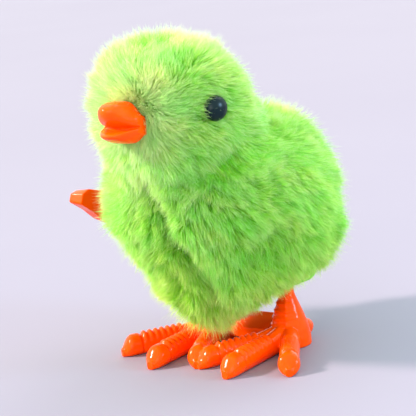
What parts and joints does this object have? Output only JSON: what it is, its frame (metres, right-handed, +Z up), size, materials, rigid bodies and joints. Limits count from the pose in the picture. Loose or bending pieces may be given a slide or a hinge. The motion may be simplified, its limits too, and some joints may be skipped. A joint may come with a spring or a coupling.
{
  "type": "wind-up hopping chicken",
  "caption": "Plush-covered clockwork chick that hops on two kicking plastic feet, wound by a side key.",
  "frame": {"origin": "bottom centre of the bounding box, on the surface the feet stand on", "axes": "+Z up; the chick faces -Y; its left side is +X and the winding key is on its right, at -X"},
  "size_m": [0.0536, 0.0586, 0.064],
  "materials": {
    "plush": "long pile plush",
    "stuffing": "fibre wadding",
    "orange_plastic": "glossy",
    "eye_plastic": "polished",
    "gear_plastic": "moulded",
    "case_plastic": "moulded",
    "ring_plastic": "moulded, dyed to match the pile",
    "steel": "drawn",
    "brass": "turned"
  },
  "bodies": {
    "chick_body": {"plush_cover": "plush", "head_stuffing": "stuffing", "body_stuffing": "stuffing", "beak": "orange_plastic", "beak_washer": "steel", "eye_left": "eye_plastic", "eye_right": "eye_plastic", "eye_washer_left": "steel", "eye_washer_right": "steel", "key_eyelet": "brass", "base_ring": "ring_plastic", "case_left": "case_plastic", "case_right": "case_plastic", "case_screw_1": "steel", "case_screw_2": "steel", "case_screw_3": "steel", "mainspring": "steel", "spring_post": "steel", "foot_spring": "steel"},
    "winding": {"winding_key": "orange_plastic", "winding_shaft": "steel", "spring_core": "brass", "great_gear": "gear_plastic"},
    "second": {"second_arbor": "steel", "second_pinion": "brass", "second_gear": "gear_plastic"},
    "cam": {"cam_shaft": "steel", "cam_pinion": "brass", "hop_cam": "gear_plastic"},
    "feet": {"foot_axle": "steel", "foot_lever": "gear_plastic", "foot_pair": "orange_plastic"}
  },
  "joints": [
    {"name": "key_turn", "type": "hinge", "parent": "chick_body", "child": "winding", "pos_m": [0.0047, 0.0012, 0.0275], "axis": [1, 0, 0], "continuous": true},
    {"name": "second_turn", "type": "hinge", "parent": "chick_body", "child": "second", "pos_m": [0.0047, 0.0132, 0.0275], "axis": [1, 0, 0], "continuous": true},
    {"name": "cam_turn", "type": "hinge", "parent": "chick_body", "child": "cam", "pos_m": [0.0047, 0.0132, 0.0195], "axis": [1, 0, 0], "continuous": true},
    {"name": "feet_kick", "type": "hinge", "parent": "chick_body", "child": "feet", "pos_m": [0.0047, 0.0072, 0.0158], "axis": [1, 0, 0], "range_deg": [0, 18], "stiffness_Nm_per_rad": 0.01, "springref_deg": -17.19}
  ],
  "couplings": [
    {"joint": "second_turn", "follows": "key_turn", "ratio": -3},
    {"joint": "cam_turn", "follows": "key_turn", "ratio": 9}
  ]
}
